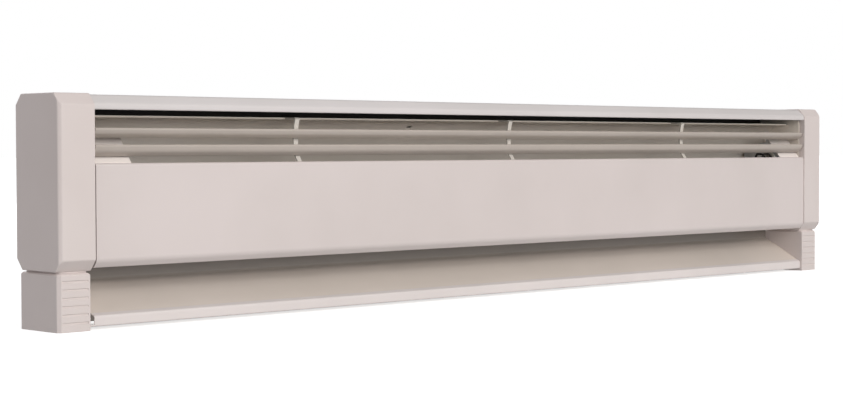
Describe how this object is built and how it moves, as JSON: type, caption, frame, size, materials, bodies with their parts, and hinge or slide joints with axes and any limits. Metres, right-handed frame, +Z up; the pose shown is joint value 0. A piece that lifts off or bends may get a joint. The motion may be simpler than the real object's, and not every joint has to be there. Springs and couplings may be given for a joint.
{
  "type": "baseboard heater",
  "caption": "Long low electric baseboard heater with louvered warm-air outlet, plain front panel, open air inlet with rolled-lip tray, and moulded end caps with ribbed feet.",
  "frame": {"origin": "middle of the footprint, at the soles of the feet", "axes": "+X along the length towards the right-hand end seen from the room, -Y out into the room, +Y to the wall, +Z up"},
  "size_m": [1.168, 0.07, 0.21],
  "materials": {
    "painted_steel": "satin warm off-white powder coat",
    "cap_plastic": "fine moulded satin, warm off-white",
    "inner_paint": "satin warm off-white powder coat, inside the casing",
    "galvanised_steel": "galvanised, lightly mottled",
    "spring_steel": "bright spring steel",
    "copper": "drawn copper tube, slightly dulled",
    "fin_aluminium": "thin rolled aluminium",
    "brass_fitting": "turned brass",
    "rod_sheath": "oxidised steel sheath",
    "ceramic_bush": "unglazed ceramic",
    "nylon": "natural nylon",
    "switch_case": "moulded black phenolic",
    "black_rubber": "soft black rubber",
    "wire_jacket": "black heat-resistant wire sleeve",
    "connector_plastic": "moulded orange shell",
    "earth_green": "green dyed screw"
  },
  "bodies": {
    "chassis": {"back_panel": "inner_paint", "top_rail": "painted_steel", "air_deflector": "inner_paint", "inlet_tray": "painted_steel", "louver_blade_upper": "painted_steel", "louver_blade_lower": "painted_steel", "louver_tabs": "inner_paint", "support_bracket_left": "inner_paint", "support_bracket_centre": "inner_paint", "support_bracket_right": "inner_paint", "partition_left": "galvanised_steel", "partition_right": "galvanised_steel", "wiring_cover_left": "inner_paint", "wiring_cover_right": "inner_paint", "end_plate_left": "inner_paint", "end_plate_right": "inner_paint", "cap_clips_left": "spring_steel", "cap_clips_right": "spring_steel", "element_tube": "copper", "heating_rod": "rod_sheath", "end_fitting_left": "brass_fitting", "end_fitting_right": "brass_fitting", "fin_section_outer_left": "fin_aluminium", "fin_section_inner_left": "fin_aluminium", "fin_section_inner_right": "fin_aluminium", "fin_section_outer_right": "fin_aluminium", "element_glide_left": "nylon", "element_glide_centre": "nylon", "element_glide_right": "nylon", "terminal_insulators": "ceramic_bush", "terminal_nuts": "spring_steel", "limit_switch": "switch_case", "limit_switch_bracket": "galvanised_steel", "capillary_bulb": "copper", "capillary_grommets": "black_rubber", "limit_leads": "wire_jacket", "return_lead": "wire_jacket", "wire_connectors": "connector_plastic", "partition_bushings": "nylon", "panel_bumpers": "nylon", "cover_screws": "spring_steel", "ground_screws": "earth_green", "chassis_rivets": "spring_steel"},
    "front_panel": {"front_panel": "painted_steel"},
    "end_cap_left": {"end_cap_left": "cap_plastic"},
    "end_cap_right": {"end_cap_right": "cap_plastic"}
  },
  "joints": [
    {"name": "front_panel_tilt", "type": "hinge", "parent": "chassis", "child": "front_panel", "pos_m": [0, -0.031, 0.1455], "axis": [-1, 0, 0], "range_deg": [0, 30]},
    {"name": "end_cap_left_pull", "type": "slide", "parent": "chassis", "child": "end_cap_left", "axis": [-1, 0, 0], "range_m": [0, 0.05]},
    {"name": "end_cap_right_pull", "type": "slide", "parent": "chassis", "child": "end_cap_right", "axis": [1, 0, 0], "range_m": [0, 0.05]}
  ]
}
